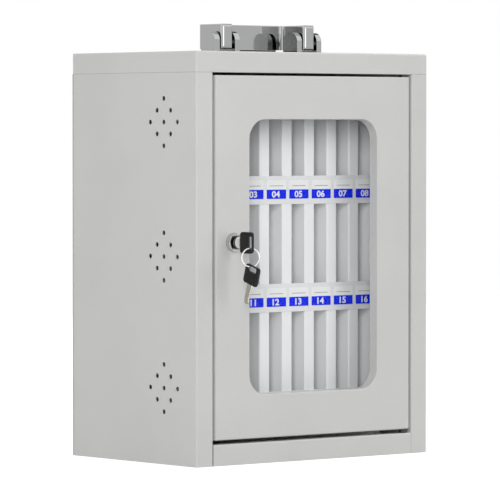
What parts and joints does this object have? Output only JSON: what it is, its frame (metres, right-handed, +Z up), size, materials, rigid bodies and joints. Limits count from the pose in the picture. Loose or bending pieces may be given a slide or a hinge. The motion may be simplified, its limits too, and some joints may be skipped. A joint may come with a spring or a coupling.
{
  "type": "cell phone locker box",
  "caption": "Wall-mounted steel phone locker with a windowed locking door, a numbered slot rack inside and a folding carrying handle.",
  "frame": {"origin": "centre of the cabinet's underside", "axes": "+Z up, -Y out of the front with the door, +X to the right as seen from the front"},
  "size_m": [0.372, 0.2958, 0.5364],
  "materials": {
    "cabinet_paint": "light grey fine-textured powder coat",
    "black_rubber": "matt black rubber",
    "foam_tape": "black foam tape",
    "clear_pane": "clear acrylic sheet",
    "zinc_steel": "zinc-plated steel",
    "black_nylon": "black nylon",
    "chrome_plate": "bright chrome plating",
    "key_metal": "nickel-plated brass key blade",
    "key_plastic": "black moulded plastic with a soft gloss",
    "ring_steel": "bright nickel-plated spring steel",
    "rack_white": "white folded plastic sheet",
    "strip_white": "white plastic strip",
    "label_card": "printed card, white above and blue below with a white number"
  },
  "bodies": {
    "cabinet": {"side_panel_left": "cabinet_paint", "side_panel_right": "cabinet_paint", "top_cap": "cabinet_paint", "bottom_panel": "cabinet_paint", "back_panel": "cabinet_paint", "door_buffers": "black_rubber", "hinge_bushes": "black_nylon", "handle_bracket_left": "chrome_plate", "handle_bracket_right": "chrome_plate", "handle_pins": "zinc_steel", "handle_rest": "black_rubber", "handle_screws": "zinc_steel", "rack_pillar_left": "rack_white", "rack_pillar_right": "rack_white", "rack_roof": "rack_white", "rack_back": "rack_white", "rack_screws": "zinc_steel", "rack_floor_lower": "rack_white", "rack_dividers_lower": "rack_white", "label_strip_lower": "strip_white", "label_cards_lower": "label_card", "rack_floor_middle": "rack_white", "rack_dividers_middle": "rack_white", "label_strip_middle": "strip_white", "label_cards_middle": "label_card", "rack_floor_upper": "rack_white", "rack_dividers_upper": "rack_white", "label_strip_upper": "strip_white", "label_cards_upper": "label_card"},
    "door": {"door_shell": "cabinet_paint", "door_liner": "cabinet_paint", "pane_tape": "foam_tape", "window_pane": "clear_pane", "pane_clips": "zinc_steel", "clip_screws": "zinc_steel", "hinge_pins": "zinc_steel", "lock_housing": "chrome_plate", "lock_nut": "zinc_steel"},
    "lock_cylinder": {"lock_plug": "chrome_plate", "lock_cam": "zinc_steel", "cam_screw": "zinc_steel"},
    "key": {"key_blade": "key_metal", "key_bow": "key_plastic"},
    "ring": {"key_ring": "ring_steel"},
    "spare_key": {"spare_key_blade": "key_metal", "spare_key_bow": "key_plastic"},
    "carry_handle": {"handle_bail": "chrome_plate"}
  },
  "joints": [
    {"name": "door_hinge", "type": "hinge", "parent": "cabinet", "child": "door", "pos_m": [0.1506, -0.1175, 0.25], "axis": [0, 0, 1], "range_deg": [0, 110]},
    {"name": "lock_turn", "type": "hinge", "parent": "door", "child": "lock_cylinder", "pos_m": [-0.1287, -0.123, 0.2697], "axis": [0, 1, 0], "range_deg": [0, 90]},
    {"name": "key_pull", "type": "slide", "parent": "lock_cylinder", "child": "key", "axis": [0, -1, 0], "range_m": [0, 0.022]},
    {"name": "ring_swing", "type": "hinge", "parent": "key", "child": "ring", "pos_m": [-0.1287, -0.15555, 0.26345], "axis": [1, 0, 0], "range_deg": [-45, 8]},
    {"name": "spare_key_swing", "type": "hinge", "parent": "ring", "child": "spare_key", "pos_m": [-0.1287, -0.15555, 0.24105], "axis": [1, 0, 0], "range_deg": [-60, 12]},
    {"name": "handle_fold", "type": "hinge", "parent": "cabinet", "child": "carry_handle", "pos_m": [0, -0.0254, 0.5141], "axis": [1, 0, 0], "range_deg": [0, 90]}
  ]
}
